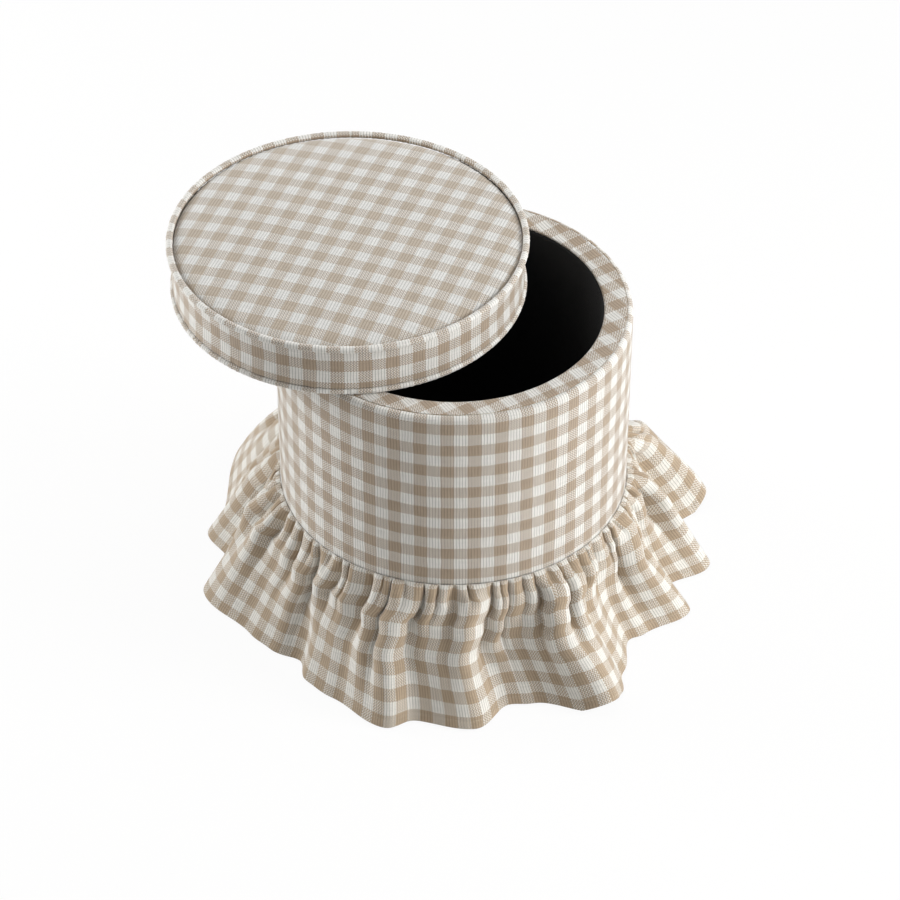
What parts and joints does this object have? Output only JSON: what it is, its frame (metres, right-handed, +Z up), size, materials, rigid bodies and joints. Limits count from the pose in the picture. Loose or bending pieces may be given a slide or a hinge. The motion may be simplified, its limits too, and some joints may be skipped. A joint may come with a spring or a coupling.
{
  "type": "vanity stool",
  "caption": "Round gingham-covered vanity stool with a storage well, a loose cushioned lid lying askew on the rim, and a gathered ruffle skirt down to the floor.",
  "frame": {"origin": "on the axis of the drum at floor level, in the middle of the centre glide's face", "axes": "+Z up along the drum's axis, -Y towards the front of the stool as pictured, +X to the right of the picture"},
  "size_m": [0.6229, 0.5808, 0.4519],
  "materials": {
    "gingham_top": "linen-like gingham, beige and white",
    "gingham_side": "linen-like gingham, beige and white",
    "gingham_bias": "the same gingham cut on the bias",
    "gingham_welt": "the same gingham wrapped round cord",
    "gingham_skirt": "the same gingham, gathered and hemmed",
    "black_lining": "plain black lining cloth",
    "dust_cloth": "black non-woven dust cloth",
    "foam": "upholstery foam",
    "base_board": "raw plywood",
    "timber": "raw pine and plywood",
    "hardboard": "brown hardboard",
    "card": "grey upholstery card",
    "glide_plastic": "dark brown plastic",
    "zinc_steel": "zinc-plated steel"
  },
  "bodies": {
    "drum": {"base_board": "base_board", "upright_1": "timber", "upright_2": "timber", "upright_3": "timber", "upright_4": "timber", "upright_5": "timber", "upright_6": "timber", "top_ring": "timber", "base_screw_1": "zinc_steel", "ring_screw_1": "zinc_steel", "base_screw_2": "zinc_steel", "ring_screw_2": "zinc_steel", "base_screw_3": "zinc_steel", "ring_screw_3": "zinc_steel", "base_screw_4": "zinc_steel", "ring_screw_4": "zinc_steel", "base_screw_5": "zinc_steel", "ring_screw_5": "zinc_steel", "base_screw_6": "zinc_steel", "ring_screw_6": "zinc_steel", "outer_skin": "hardboard", "inner_skin": "card", "wall_padding": "foam", "side_cover": "gingham_side", "lower_cover": "gingham_side", "rim_padding": "foam", "rim_cover": "gingham_bias", "lining_wall": "black_lining", "lining_floor": "black_lining", "ruffle_skirt": "gingham_skirt", "dust_cover": "dust_cloth", "glide_1": "glide_plastic", "glide_nail_1": "zinc_steel", "glide_2": "glide_plastic", "glide_nail_2": "zinc_steel", "glide_3": "glide_plastic", "glide_nail_3": "zinc_steel", "glide_4": "glide_plastic", "glide_nail_4": "zinc_steel", "glide_5": "glide_plastic", "glide_nail_5": "zinc_steel"},
    "lid": {"lid_bottom_welt": "gingham_welt", "lid_top_welt": "gingham_welt", "lid_side_band": "gingham_side", "lid_top_panel": "gingham_top", "lid_foam": "foam", "lid_board": "base_board", "lid_underside": "black_lining"}
  },
  "joints": [
    {"name": "lid_slide", "type": "slide", "parent": "drum", "child": "lid", "axis": [0.9453, -0.3263, 0], "range_m": [-0.05, 0.12441]}
  ]
}
